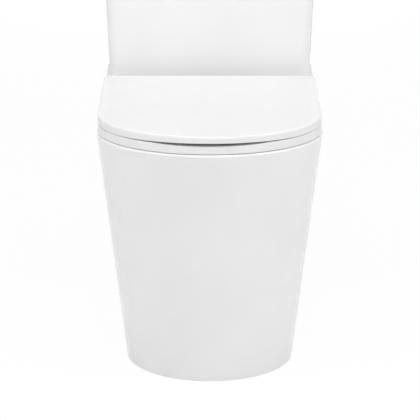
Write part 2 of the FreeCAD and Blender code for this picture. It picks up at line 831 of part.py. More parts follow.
def bezel():
    flange = rod(bezel_diameter, cover_high, cover_high + bezel_height, 0, inlet_y)
    flange = flange.makeFillet(bezel_edge_radius, edges_at(flange, cover_high + bezel_height))
    sleeve_low = cover_high + bezel_height - sleeve_length
    sleeve = rod(sleeve_diameter, sleeve_low, cover_high + beyond, 0, inlet_y)
    bore = rod(sleeve_bore, sleeve_low - beyond, cover_high + bezel_height + beyond, 0, inlet_y)
    body = flange.fuse(sleeve).cut(bore)
    guide = rod(sleeve_bore + beyond, guide_low, guide_high, 0, inlet_y)
    holes = [rod(button_stem + 2 * slack, guide_low - beyond, guide_high + beyond, *spot)
             for spot in (full_spot, half_spot)]
    return body.fuse(guide).cut(holes).removeSplitter()


def sleeve_nut_body():
    high = cover_high - cover_plate
    low = high - sleeve_nut_height
    nut = hexagon(sleeve_nut, low, high, 0, inlet_y)
    return nut.cut(rod(sleeve_diameter + 2 * running, low - beyond, high + beyond, 0, inlet_y))


def button(spot, left, right):
    """One half of the divided button with its stem, between two distances from the middle."""
    whole = rod(sleeve_bore - 2 * slack, button_low, button_high, 0, inlet_y)
    y = (inlet_y - bezel_diameter, inlet_y + bezel_diameter)
    part = whole.common(box((left, right), y, (button_low, button_high)))
    part = part.makeFillet(button_edge_radius, edges_at(part, button_high))
    return part.fuse(rod(button_stem, stem_low, button_low + beyond, *spot))


# Flush valve

valve_low = water_floor + gasket_thickness
flange_high = valve_low + valve_flange_height
seat_high = flange_high + valve_seat_lip
basket_high = flange_high + valve_basket_height
tower_high = basket_high + valve_tower_height
rocker_z = tower_high + rocker_height
overflow_low = seat_high + seal_thickness
overflow_high = tower_high - valve_cap - overflow_below_cap
basket_bore = valve_basket - 2 * valve_shell
collar_low = rocker_z + rocker_thickness / 2 + slack
overflow_bore = overflow_diameter - 2 * overflow_wall


def windows(low, high, width=valve_window_width):
    """Cutters for four windows round the valve."""
    reach = valve_basket
    return [box((-width / 2, width / 2), (inlet_y - reach, inlet_y + reach), (low, high)),
            box((-reach, reach), (inlet_y - width / 2, inlet_y + width / 2), (low, high))]


def cheeks(y, width):
    """Limits of the two cheeks that hold a lever of a given width."""
    inner = width / 2 + slack
    return (y + inner, y + inner + valve_shell), (y - inner - valve_shell, y - inner)


def valve_base():
    basket = tube(valve_basket, basket_bore, flange_high - beyond, basket_high, 0, inlet_y)
    basket = basket.cut(windows(flange_high + basket_window_sill, basket_high - basket_window_head))
    body = rod(valve_tail, tank_low - valve_tail_drop, flange_high, 0, inlet_y)
    body = body.fuse([rod(valve_flange, valve_low, flange_high, 0, inlet_y),
                      rod(valve_bore + 2 * valve_seat_width, flange_high - beyond, seat_high, 0, inlet_y)])
    body = body.cut(rod(valve_bore, tank_low - valve_tail_drop - beyond, seat_high + beyond, 0, inlet_y))
    return body.fuse(basket).removeSplitter()


def valve_tower():
    shell = tube(valve_basket, basket_bore, basket_high, tower_high, 0, inlet_y)
    shell = shell.cut(windows(overflow_high - overflow_window / 2, overflow_high + overflow_window / 2))
    cap = rod(valve_basket - valve_shell, tower_high - valve_cap, tower_high, 0, inlet_y)
    body = shell.fuse(cap)
    z = (tower_high - beyond, rocker_z + rocker_cheek_above)
    for y in cheeks(inlet_y, rocker_width):
        body = body.fuse(box((-rocker_cheek / 2, rocker_cheek / 2), y, z))
    below, above = tower_high - valve_cap - beyond, tower_high + beyond
    return body.cut([
        rod(lift_stem + 2 * loose, below, above, -lift_arm, inlet_y),
        rod(push_rod + 2 * loose, below, above, *half_spot),
        rocker_axle(rocker_pin + 2 * running, valve_basket),
    ]).removeSplitter()


def rocker_axle(diameter, length):
    return bar(diameter, -length / 2, length / 2, (Vector(0, inlet_y, rocker_z), Vector(0, 1, 0)))


def rocker():
    half = rocker_width / 2
    y = (inlet_y - half, inlet_y + half)
    z = (rocker_z - rocker_thickness / 2, rocker_z + rocker_thickness / 2)
    body = box((-lift_arm, full_rod_offset), y, z)
    ends = [bar(rocker_thickness, -half, half, (Vector(x, inlet_y, rocker_z), Vector(0, 1, 0)))
            for x in (-lift_arm, full_rod_offset)]
    body = body.fuse(ends + [rocker_axle(2 * rocker_pin, rocker_width)])
    gap = lift_stem / 2 + loose
    slot = box((-lift_arm - rocker_width, -lift_arm + lift_stem), (inlet_y - gap, inlet_y + gap),
               (rocker_z - rocker_width, rocker_z + rocker_width))
    return body.cut([slot, rocker_axle(rocker_pin + 2 * running, 2 * rocker_width)]).removeSplitter()


def overflow_tube():
    body = rod(overflow_diameter, overflow_low, overflow_high, 0, inlet_y)
    carrier = rod(seal_carrier, overflow_low, overflow_low + seal_thickness, 0, inlet_y)
    collar_width = 2 * (lift_arm + beyond) + lift_stem
    collar = rod(collar_width, overflow_high - valve_cap, overflow_high, 0, inlet_y)
    bore = rod(overflow_bore, overflow_low - beyond, overflow_high + beyond, 0, inlet_y)
    body = body.fuse([carrier, collar]).cut(bore)
    stem = rod(lift_stem, overflow_high - beyond, collar_low + 2 * lift_collar_height, -lift_arm, inlet_y)
    lug = rod(lift_collar, collar_low, collar_low + lift_collar_height, -lift_arm, inlet_y)
    return body.fuse([stem, lug]).removeSplitter()


def push_rod_full():
    tip = collar_low + push_rod / 2
    ball = Part.makeSphere(push_rod / 2, Vector(*full_spot, tip))
    return rod(push_rod, tip, stem_low, *full_spot).fuse(ball).removeSplitter()


# Fill valve

fill_low = water_floor + gasket_thickness
fill_flange_high = fill_low + valve_flange_height
head_low = fill_flange_high + fill_riser_height
head_high = head_low + fill_head_height
cup_high = head_low - float_cup_below_head
cup_low = cup_high - float_cup_height
float_bore = fill_riser + 4 * slack
lever_z = head_high + float_lever_height
lever_x = fill_x - float_lever_offset
link_x = lever_x + float_arm


def fill_valve_body():
    body = rod(fill_shank, tank_low - fill_shank_drop, fill_flange_high, fill_x, fill_y)
    stop = cup_low - slack
    groove = tank_low - fill_nut_height - beyond
    body = body.fuse([rod(fill_flange, fill_low, fill_flange_high, fill_x, fill_y),
                      rod(fill_riser, fill_flange_high - beyond, head_low, fill_x, fill_y),
                      rod(float_bore + 2 * float_cup_wall, stop - float_cup_wall, stop, fill_x, fill_y)])
    return body.cut([
        rod(fill_bore, tank_low - fill_shank_drop - beyond, head_low + beyond, fill_x, fill_y),
        tube(fill_flange, fill_shank - 2 * fill_groove_depth, groove - fill_groove, groove, fill_x, fill_y),
    ]).removeSplitter()


def lever_axle(diameter, length):
    return bar(diameter, -length / 2, length / 2, (Vector(lever_x, fill_y, lever_z), Vector(0, 1, 0)))


def fill_head_body():
    head = rod(fill_head, head_low, head_high, fill_x, fill_y)
    head = head.makeFillet(fill_head_radius, edges_at(head, head_high))
    half = float_lever_cheek / 2
    for y in cheeks(fill_y, float_lever_width):
        head = head.fuse(box((lever_x - half, lever_x + half), y, (head_high - beyond, lever_z + half)))
    return head.cut(lever_axle(float_link + 2 * running, fill_head)).removeSplitter()


def fill_lever():
    half = float_lever_width / 2
    thick = float_lever_thickness / 2
    lever = box((lever_x - float_lever_tail, link_x + float_lever_tip), (fill_y - half, fill_y + half),
                (lever_z - thick, lever_z + thick))
    gap = float_link / 2 + loose
    slot = box((link_x - link_slot_in, link_x + link_slot_out), (fill_y - gap, fill_y + gap),
               (lever_z - thick - beyond, lever_z + thick + beyond))
    return lever.cut([slot, lever_axle(float_link + 2 * running, fill_head)])


def fill_float():
    """The float at the bottom of its travel: a cup that is open below and slides on the riser."""
    cup = tube(float_cup, float_bore, cup_low, cup_high, fill_x, fill_y)
    air = tube(float_cup - 2 * float_cup_wall, float_bore + 2 * float_cup_wall, cup_low - beyond,
               cup_high - float_cup_wall, fill_x, fill_y)
    return cup.cut(air)


def fill_link():
    """The rod from the float through the lever, with the collar that lifts the lever."""
    stop = lever_z - float_lever_thickness / 2 - slack
    stem = rod(float_link, cup_high, lever_z + 2 * float_lever_thickness, link_x, fill_y)
    collar = rod(float_link_collar, stop - float_lever_thickness, stop, link_x, fill_y)
    return stem.fuse(collar).removeSplitter()


# Cistern fixings

coupling_x = coupling_spacing / 2
coupling_seat = water_floor + coupling_rubber + coupling_washer_thickness


def ring_washer(outer, inner, low, thickness):
    washer = tube(outer, inner, low, low + thickness, coupling_x, inlet_y)
    return washer, mirrored(washer)


def coupling_bolt_body():
    bolt = rod(coupling_bolt, deck_under - coupling_tail, coupling_seat, coupling_x, inlet_y)
    head_high = coupling_seat + coupling_head_height
    return bolt.fuse(hexagon(coupling_head, coupling_seat, head_high, coupling_x, inlet_y))


def wing_nut():
    high = deck_under - gasket_thickness - coupling_washer_thickness
    low = high - wing_nut_height
    nut = rod(coupling_head, low, high, coupling_x, inlet_y)
    wings = box((coupling_x - wing_thickness / 2, coupling_x + wing_thickness / 2),
                (inlet_y - wing_nut_span / 2, inlet_y + wing_nut_span / 2),
                (low - wing_nut_height / 2, high - wing_nut_height / 3))
    bore = rod(coupling_bolt + 2 * running, low - wing_nut_height, high + beyond, coupling_x, inlet_y)
    return nut.fuse(wings).cut(bore)


def back_nut(across, height, bore, x, y):
    nut = hexagon(across, tank_low - height, tank_low, x, y)
    return nut.cut(rod(bore + 2 * running, tank_low - height - beyond, tank_low + beyond, x, y))


def pair(solid):
    return solid, mirrored(solid)


os.makedirs("parts", exist_ok=True)

save("pan_rim", pan_rim())
save("pan_skirt", pan_skirt())
save("pan_bowl", pan_bowl())
save("pan_trap", pan_trap())
save("pan_flush_way", pan_flush_way())
save("floor_bracket_right", floor_bracket())
save("floor_bracket_left", mirrored(floor_bracket()))
save("side_fixing_screws", *pair(side_screw_body()))
save("side_cover_caps", *pair(side_cover()))

save("seat_ring", seat_ring())
save("seat_lid", seat_lid())
save("ring_buffers", *ring_buffers())
save("lid_buffers", *lid_buffers())
save("hinge_post_right", hinge_post())
save("hinge_post_left", mirrored(hinge_post()))
save("hinge_pins", *pair(hinge_pin_body()))
save("ring_damper", damper(other_side(inner_knuckle)))
save("lid_damper", damper(outer_knuckle))
save("hinge_plates", *pair(hinge_plate_body()))
save("hinge_screws", *pair(hinge_screw_body()))
save("hinge_plugs", *pair(hinge_plug()))
save("hinge_plug_nuts", *pair(hinge_nut_body()))

save("cistern_tank", cistern_tank())
save("cistern_cover", cistern_cover())
save("button_bezel", bezel())
save("bezel_nut", sleeve_nut_body())
save("full_flush_button", button(full_spot, button_split + button_gap / 2, bezel_diameter))
save("half_flush_button", button(half_spot, -bezel_diameter, button_split - button_gap / 2))
save("full_push_rod", push_rod_full())
half_rod_low = overflow_high + plug_lift + button_travel + slack
save("half_push_rod", rod(push_rod, half_rod_low, stem_low, *half_spot))

save("flush_valve_base", valve_base())
save("flush_valve_tower", valve_tower())
save("flush_rocker", rocker())
save("rocker_axle", rocker_axle(rocker_pin, rocker_width + 2 * (slack + valve_shell + beyond)))
save("overflow_tube", overflow_tube())
save("flush_seal", tube(seal_diameter, overflow_bore, seat_high, overflow_low, 0, inlet_y))
float_ring_low = seat_high + float_ring_above_seat
save("half_flush_float", tube(float_ring_diameter, overflow_diameter + 2 * running, float_ring_low,
                              float_ring_low + float_ring_height, 0, inlet_y))
save("flush_valve_gasket", tube(valve_gasket, valve_tail + 2 * loose, water_floor, valve_low, 0, inlet_y))
save("flush_valve_nut", back_nut(valve_back_nut, valve_back_nut_height, valve_tail, 0, inlet_y))
nut_corners = 2 * valve_back_nut / math.sqrt(3)
save("doughnut_washer", tube(doughnut_seat_diameter - 2 * loose, nut_corners + 2 * loose,
                             rim_height - doughnut_seat_depth, tank_low, 0, inlet_y))

save("fill_valve_body", fill_valve_body())
save("fill_valve_head", fill_head_body())
save("fill_lever", fill_lever())
save("fill_lever_axle", lever_axle(float_link, float_lever_width + 2 * (slack + valve_shell + beyond)))
save("fill_float", fill_float())
save("fill_float_link", fill_link())
save("fill_valve_gasket", tube(fill_gasket, fill_shank + 2 * loose, water_floor, fill_low, fill_x, fill_y))
save("fill_valve_nut", back_nut(fill_nut, fill_nut_height, fill_shank, fill_x, fill_y))

save("coupling_bolts", *pair(coupling_bolt_body()))
bolt_snug = coupling_bolt + 2 * running
bolt_free = coupling_bolt + 2 * loose
rubber_low = deck_under - gasket_thickness
save("tank_seal_washers", *ring_washer(coupling_washer, bolt_snug, water_floor, coupling_rubber))
save("tank_steel_washers", *ring_washer(coupling_steel_washer, bolt_free, water_floor + coupling_rubber,
                                        coupling_washer_thickness))
save("deck_rubber_washers", *ring_washer(coupling_washer, bolt_free, rubber_low, gasket_thickness))
save("deck_steel_washers", *ring_washer(coupling_steel_washer, bolt_free,
                                        rubber_low - coupling_washer_thickness, coupling_washer_thickness))
save("wing_nuts", *pair(wing_nut()))
save("cistern_pads", *ring_washer(coupling_pad, coupling_hole, rim_height, cistern_gap))
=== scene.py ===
import json
import math

import bpy
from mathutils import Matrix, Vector


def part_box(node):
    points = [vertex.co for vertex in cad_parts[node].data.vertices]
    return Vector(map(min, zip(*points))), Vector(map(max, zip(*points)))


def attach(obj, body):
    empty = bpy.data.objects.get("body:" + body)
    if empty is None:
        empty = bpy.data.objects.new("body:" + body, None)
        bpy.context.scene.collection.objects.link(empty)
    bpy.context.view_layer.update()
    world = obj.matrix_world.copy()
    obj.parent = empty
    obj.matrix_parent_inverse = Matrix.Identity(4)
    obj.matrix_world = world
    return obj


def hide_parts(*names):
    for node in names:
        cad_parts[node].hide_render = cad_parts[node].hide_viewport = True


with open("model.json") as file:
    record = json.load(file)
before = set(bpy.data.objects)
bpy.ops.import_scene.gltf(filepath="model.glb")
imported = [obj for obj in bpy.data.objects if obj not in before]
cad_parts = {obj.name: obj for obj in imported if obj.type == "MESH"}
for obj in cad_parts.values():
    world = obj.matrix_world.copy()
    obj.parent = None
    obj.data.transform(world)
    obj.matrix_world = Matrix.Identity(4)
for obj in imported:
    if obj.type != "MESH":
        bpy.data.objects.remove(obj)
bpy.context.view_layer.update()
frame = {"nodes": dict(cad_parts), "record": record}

scene = bpy.context.scene
print("frame loaded,", len(frame["nodes"]), "nodes")


# helpers for the finishes' nodes

noiseSpan = {"low": 0.3, "high": 0.7, "toneLow": 0.35, "toneHigh": 0.65}
noiseDetail = {"soft": 1.0, "usual": 3.0, "fine": 2.0}
mixSockets = {"share": 0, "first": 2, "second": 3, "firstColour": 6, "secondColour": 7, "colour": 2}


def newFinish(name):
    finish = bpy.data.materials.new(name)
    finish.use_nodes = True
    tree = finish.node_tree
    shader = tree.nodes["Principled BSDF"]
    return finish, tree, shader


def addNode(tree, kind, inputs=None, **settings):
    node = tree.nodes.new(kind)
    for key, value in settings.items():
        setattr(node, key, value)
    for key, value in (inputs or {}).items():
        if isinstance(value, bpy.types.NodeSocket):
            tree.links.new(value, node.inputs[key])
        else:
            node.inputs[key].default_value = value
    return node


def objectPlace(tree):
    return addNode(tree, "ShaderNodeTexCoord").outputs["Object"]


def cloud(tree, place, scale, detail=noiseDetail["usual"]):
    noise = addNode(tree, "ShaderNodeTexNoise", {"Vector": place, "Scale": scale, "Detail": detail})
    return noise.outputs["Fac"]


def spread(tree, value, low, high):
    span = addNode(tree, "ShaderNodeMapRange", {"Value": value, "From Min": noiseSpan["low"],
                                                "From Max": noiseSpan["high"], "To Min": low, "To Max": high})
    return span.outputs["Result"]


def twoTone(tree, value, first, second):
    ramp = addNode(tree, "ShaderNodeValToRGB", {"Fac": value})
    ramp.color_ramp.elements[0].position = noiseSpan["toneLow"]
    ramp.color_ramp.elements[1].position = noiseSpan["toneHigh"]
    ramp.color_ramp.elements[0].color = (*first, 1)
    ramp.color_ramp.elements[1].color = (*second, 1)
    return ramp.outputs["Color"]


def relief(tree, height, distance, strength=1.0, under=None):
    inputs = {"Height": height, "Distance": distance, "Strength": strength}
    if under is not None:
        inputs["Normal"] = under
    return addNode(tree, "ShaderNodeBump", inputs).outputs["Normal"]


# finishes

glazeLook = {"white": (0.80, 0.80, 0.80), "pooled": (0.775, 0.775, 0.775), "mottle": 7.0,
             "smooth": 0.07, "dull": 0.13, "wear": 22.0, "ripple": 14.0, "rippleDepth": 0.0006,
             "peel": 260.0, "peelDepth": 0.00004, "coat": 0.05, "coatRough": 0.04}
bisqueLook = {"pale": (0.78, 0.75, 0.69), "dark": (0.70, 0.665, 0.60), "blotch": 26.0, "rough": 0.85,
              "grain": 900.0, "grainDepth": 0.0003, "footBelow": 0.0004}
castingPlaces = {"skirtMiddle": (0, -0.10, 0), "bowlMiddle": (0, -0.11, 0), "inletMiddle": (0, 0.24, 0),
                 "flushFloor": 0.333, "flushMargin": 0.0005, "sump": (0, -0.04, 0), "rise": (0, 0.072, 0),
                 "outlet": (0, 0, 0.19), "lowBend": (0, 0.016, 0.112), "lowRadius": 0.056,
                 "highBend": (0, 0.126, 0.136), "highRadius": 0.054, "wayRadius": 0.0455,
                 "looksDown": -0.5}


def sideways(tree, place, middle):
    # how far a face looks away from an upright axis, negative where it looks inwards
    flat = (1, 1, 0)
    out = addNode(tree, "ShaderNodeVectorMath", {0: place, 1: middle}, operation="SUBTRACT").outputs[0]
    out = addNode(tree, "ShaderNodeVectorMath", {0: out, 1: flat}, operation="MULTIPLY").outputs[0]
    normal = addNode(tree, "ShaderNodeNewGeometry").outputs["Normal"]
    along = addNode(tree, "ShaderNodeVectorMath", {0: normal, 1: out}, operation="DOT_PRODUCT")
    return along.outputs["Value"]


def calculate(tree, operation, first, second):
    return addNode(tree, "ShaderNodeMath", {0: first, 1: second}, operation=operation).outputs[0]


def awayFrom(tree, place, axis, centre):
    # distance from a line through centre, axis gives 0 along the line and 1 across it
    offset = addNode(tree, "ShaderNodeVectorMath", {0: place, 1: centre}, operation="SUBTRACT").outputs[0]
    offset = addNode(tree, "ShaderNodeVectorMath", {0: offset, 1: axis}, operation="MULTIPLY").outputs[0]
    return addNode(tree, "ShaderNodeVectorMath", {0: offset}, operation="LENGTH").outputs["Value"]


def footBare(tree, place):
    height = addNode(tree, "ShaderNodeSeparateXYZ", {"Vector": place}).outputs["Z"]
    return calculate(tree, "LESS_THAN", height, bisqueLook["footBelow"])


def skirtBare(tree, place):
    inside = calculate(tree, "LESS_THAN", sideways(tree, place, castingPlaces["skirtMiddle"]), 0.0)
    return calculate(tree, "MAXIMUM", inside, footBare(tree, place))


def underBare(tree, place):
    normal = addNode(tree, "ShaderNodeNewGeometry").outputs["Normal"]
    upward = addNode(tree, "ShaderNodeSeparateXYZ", {"Vector": normal}).outputs["Z"]
    return calculate(tree, "LESS_THAN", upward, castingPlaces["looksDown"])


def bowlBare(tree, place):
    return calculate(tree, "GREATER_THAN", sideways(tree, place, castingPlaces["bowlMiddle"]), 0.0)


def ringAway(tree, place, centre, radius):
    # distance from the middle line of a bend, which turns about an axis from side to side
    across = awayFrom(tree, place, (0, 1, 1), centre)
    side = addNode(tree, "ShaderNodeSeparateXYZ", {"Vector": place}).outputs["X"]
    outward = calculate(tree, "SUBTRACT", across, radius)
    offset = addNode(tree, "ShaderNodeCombineXYZ", {"X": side, "Y": outward}).outputs[0]
    return addNode(tree, "ShaderNodeVectorMath", {0: offset}, operation="LENGTH").outputs["Value"]


def choose(tree, test, whenTrue, otherwise):
    mix = addNode(tree, "ShaderNodeMix", {mixSockets["share"]: test, mixSockets["first"]: otherwise,
                                          mixSockets["second"]: whenTrue}, data_type="FLOAT")
    return mix.outputs[0]


def trapBare(tree, place):
    # glazed inside its way only: down, round the low bend, up, over the high bend and out
    spots = castingPlaces
    axes = addNode(tree, "ShaderNodeSeparateXYZ", {"Vector": place})
    away = calculate(tree, "MINIMUM", awayFrom(tree, place, (1, 1, 0), spots["sump"]),
                     awayFrom(tree, place, (1, 1, 0), spots["rise"]))
    above = calculate(tree, "GREATER_THAN", axes.outputs["Z"], spots["highBend"][2])
    behind = calculate(tree, "GREATER_THAN", axes.outputs["Y"], spots["lowBend"][1])
    overHigh = calculate(tree, "MULTIPLY", above, behind)
    away = choose(tree, overHigh, ringAway(tree, place, spots["highBend"], spots["highRadius"]), away)
    past = calculate(tree, "GREATER_THAN", axes.outputs["Y"], spots["highBend"][1])
    away = choose(tree, past, awayFrom(tree, place, (1, 0, 1), spots["outlet"]), away)
    under = calculate(tree, "LESS_THAN", axes.outputs["Z"], spots["lowBend"][2])
    away = choose(tree, under, ringAway(tree, place, spots["lowBend"], spots["lowRadius"]), away)
    return calculate(tree, "GREATER_THAN", away, spots["wayRadius"])


def flushBare(tree, place):
    away = sideways(tree, place, castingPlaces["inletMiddle"])
    outside = calculate(tree, "GREATER_THAN", away, castingPlaces["flushMargin"])
    height = addNode(tree, "ShaderNodeSeparateXYZ", {"Vector": place}).outputs["Z"]
    under = calculate(tree, "LESS_THAN", height, castingPlaces["flushFloor"])
    return calculate(tree, "MAXIMUM", outside, under)


def glazeFinish(name, look, bisque, bareWhere):
    finish, tree, shader = newFinish(name)
    place = objectPlace(tree)
    glaze = twoTone(tree, cloud(tree, place, look["mottle"]), look["pooled"], look["white"])
    clay = twoTone(tree, cloud(tree, place, bisque["blotch"]), bisque["dark"], bisque["pale"])
    bare = bareWhere(tree, place)
    colour = addNode(tree, "ShaderNodeMix", data_type="RGBA")
    for socket, source in (("share", bare), ("firstColour", glaze), ("secondColour", clay)):
        tree.links.new(source, colour.inputs[mixSockets[socket]])
    tree.links.new(colour.outputs[mixSockets["colour"]], shader.inputs["Base Color"])
    worn = spread(tree, cloud(tree, place, look["wear"]), look["smooth"], look["dull"])
    dry = addNode(tree, "ShaderNodeMapRange", {"Value": bare, "To Min": worn, "To Max": bisque["rough"]})
    tree.links.new(dry.outputs["Result"], shader.inputs["Roughness"])
    slow = relief(tree, cloud(tree, place, look["ripple"], noiseDetail["soft"]), look["rippleDepth"])
    peel = cloud(tree, place, look["peel"], noiseDetail["fine"])
    fine = relief(tree, peel, look["peelDepth"], under=slow)
    grain = cloud(tree, place, bisque["grain"], noiseDetail["fine"])
    gritty = relief(tree, grain, bisque["grainDepth"], bare, fine)
    tree.links.new(gritty, shader.inputs["Normal"])
    shader.inputs["Coat Weight"].default_value = look["coat"]
    shader.inputs["Coat Roughness"].default_value = look["coatRough"]
    return finish


seatLook = {"white": (0.75, 0.75, 0.75), "shade": (0.735, 0.735, 0.735), "cloudy": 5.0,
            "smooth": 0.12, "dull": 0.2, "wear": 30.0, "grain": 420.0, "grainDepth": 0.00003, "gloss": 0.3}


def seatFinish(look):
    finish, tree, shader = newFinish("seatMoulding")
    place = objectPlace(tree)
    tree.links.new(twoTone(tree, cloud(tree, place, look["cloudy"]), look["shade"], look["white"]),
                   shader.inputs["Base Color"])
    worn = cloud(tree, place, look["wear"])
    tree.links.new(spread(tree, worn, look["smooth"], look["dull"]), shader.inputs["Roughness"])
    grain = cloud(tree, place, look["grain"], noiseDetail["fine"])
    tree.links.new(relief(tree, grain, look["grainDepth"]), shader.inputs["Normal"])
    shader.inputs["Specular IOR Level"].default_value = look["gloss"]
    return finish


metalLooks = {
    "chrome": {"bright": (0.62, 0.625, 0.635), "dark": (0.55, 0.555, 0.565), "smooth": 0.03, "dull": 0.1,
               "smudge": 55.0, "turned": None},
    "stainless_steel": {"bright": (0.64, 0.64, 0.65), "dark": (0.5, 0.5, 0.51), "smooth": 0.2, "dull": 0.36,
                        "smudge": 90.0, "turned": {"lines": 900.0, "depth": 0.00003, "waver": 1.5}},
    "brass": {"bright": (0.78, 0.6, 0.28), "dark": (0.6, 0.43, 0.17), "smooth": 0.2, "dull": 0.38,
              "smudge": 120.0, "turned": {"lines": 800.0, "depth": 0.00003, "waver": 1.5}},
}


def metalFinish(name, look):
    finish, tree, shader = newFinish(name)
    place = objectPlace(tree)
    smudge = cloud(tree, place, look["smudge"])
    tree.links.new(twoTone(tree, smudge, look["dark"], look["bright"]), shader.inputs["Base Color"])
    tree.links.new(spread(tree, smudge, look["smooth"], look["dull"]), shader.inputs["Roughness"])
    shader.inputs["Metallic"].default_value = 1.0
    turned = look["turned"]
    if turned:
        lines = addNode(tree, "ShaderNodeTexWave", {"Vector": place, "Scale": turned["lines"],
                                                    "Distortion": turned["waver"]},
                        wave_type="BANDS", bands_direction="Z")
        tree.links.new(relief(tree, lines.outputs["Fac"], turned["depth"]), shader.inputs["Normal"])
    return finish


mouldedLooks = {
    "white_plastic": {"light": (0.80, 0.80, 0.78), "dark": (0.74, 0.74, 0.72), "smooth": 0.32, "dull": 0.48,
                      "grain": 700.0, "grainDepth": 0.00005, "cloudy": 18.0},
    "grey_plastic": {"light": (0.42, 0.44, 0.46), "dark": (0.34, 0.36, 0.38), "smooth": 0.34, "dull": 0.5,
                     "grain": 700.0, "grainDepth": 0.00005, "cloudy": 24.0},
    "buffer_rubber": {"light": (0.72, 0.72, 0.71), "dark": (0.62, 0.62, 0.61), "smooth": 0.4, "dull": 0.55,
                      "grain": 900.0, "grainDepth": 0.00004, "cloudy": 120.0},
    "black_rubber": {"light": (0.045, 0.045, 0.047), "dark": (0.025, 0.025, 0.026),
                     "smooth": 0.5, "dull": 0.75, "grain": 900.0, "grainDepth": 0.00012, "cloudy": 60.0},
    "seal_rubber": {"light": (0.5, 0.09, 0.07), "dark": (0.38, 0.06, 0.05), "smooth": 0.45, "dull": 0.62,
                    "grain": 900.0, "grainDepth": 0.00008, "cloudy": 60.0},
}


def mouldedFinish(name, look):
    finish, tree, shader = newFinish(name)
    place = objectPlace(tree)
    cloudy = cloud(tree, place, look["cloudy"])
    tree.links.new(twoTone(tree, cloudy, look["dark"], look["light"]), shader.inputs["Base Color"])
    tree.links.new(spread(tree, cloudy, look["smooth"], look["dull"]), shader.inputs["Roughness"])
    grain = cloud(tree, place, look["grain"], noiseDetail["fine"])
    tree.links.new(relief(tree, grain, look["grainDepth"]), shader.inputs["Normal"])
    return finish


finishes = {"glazed_ceramic": glazeFinish("glazedCeramic", glazeLook, bisqueLook, footBare),
            "seat_plastic": seatFinish(seatLook)}
castingFinishes = {"pan_rim": underBare, "pan_skirt": skirtBare, "pan_bowl": bowlBare, "pan_trap": trapBare,
                   "pan_flush_way": flushBare}
for slotName, look in metalLooks.items():
    finishes[slotName] = metalFinish(slotName, look)
for slotName, look in mouldedLooks.items():
    finishes[slotName] = mouldedFinish(slotName, look)

slotOf = {entry["node"]: entry["material_slot"] for entry in frame["record"]["subparts"]}
for nodeName, node in frame["nodes"].items():
    node.data.materials.clear()
    finish = finishes[slotOf[nodeName]]
    if nodeName in castingFinishes:
        finish = glazeFinish("glazed_" + nodeName, glazeLook, bisqueLook, castingFinishes[nodeName])
    node.data.materials.append(finish)
print("finishes made,", len(finishes))


# small pieces, modelled by hand

handling = {"upright": 0.9, "weld": 0.000005, "smoothAngle": 38.0}


def pickFaces(piece, up):
    # the faces that look straight up, or with -1 straight down
    bpy.ops.object.mode_set(mode="EDIT")
    bpy.ops.mesh.select_mode(type="FACE")
    bpy.ops.mesh.select_all(action="DESELECT")
    bpy.ops.object.mode_set(mode="OBJECT")
    for face in piece.data.polygons:
        face.select = up * face.normal.z > handling["upright"]
    bpy.ops.object.mode_set(mode="EDIT")


def copyPiece(piece, move):
    bpy.ops.object.select_all(action="DESELECT")
    piece.select_set(True)
    bpy.context.view_layer.objects.active = piece
    bpy.ops.object.duplicate()
    copy = bpy.context.object
    copy.location += Vector(move)
    return copy


def joinPieces(pieces, name):
    bpy.ops.object.select_all(action="DESELECT")
    for piece in pieces:
        piece.select_set(True)
    bpy.context.view_layer.objects.active = pieces[0]
    bpy.ops.object.join()
    pieces[0].name = name
    return pieces[0]


def settlePiece(piece, body, slotName, *nodes):
    bpy.ops.object.select_all(action="DESELECT")
    piece.select_set(True)
    bpy.context.view_layer.objects.active = piece
    bpy.ops.object.transform_apply(location=True, rotation=True, scale=True)
    bpy.ops.object.mode_set(mode="EDIT")
    bpy.ops.mesh.select_all(action="SELECT")
    bpy.ops.mesh.remove_doubles(threshold=handling["weld"])
    bpy.ops.mesh.normals_make_consistent(inside=False)
    bpy.ops.object.mode_set(mode="OBJECT")
    bpy.ops.object.shade_smooth_by_angle(angle=math.radians(handling["smoothAngle"]))
    piece.data.materials.clear()
    piece.data.materials.append(finishes[slotName])
    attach(piece, body)
    if nodes:
        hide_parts(*nodes)


# the two flush buttons, dished for a finger
buttonShape = {"around": 96, "thick": 0.006, "edge": 0.0008, "edgeSteps": 4, "land": 0.08, "step": 0.1,
               "rings": 7, "dish": 0.0013, "stem": 0.004, "stemAround": 32, "stemEdge": 0.0006, "stemCuts": 2}
buttonHalves = {
    "fullButtonTop": {"node": "full_flush_button", "body": "full_button", "right": True,
                      "stemAt": (0.016, 0.0)},
    "halfButtonTop": {"node": "half_flush_button", "body": "half_button", "right": False,
                      "stemAt": (-0.013, 0.014)},
}


def drawIn(centre, reach, inward, rise):
    # one more ring inside the picked face, and how far that face still reaches
    bpy.ops.mesh.extrude_region_move(TRANSFORM_OT_translate={"value": (0, 0, rise)})
    bpy.ops.transform.resize(value=(1 - inward / reach[0], 1 - inward / reach[1], 1), center_override=centre)
    return reach[0] - inward, reach[1] - inward


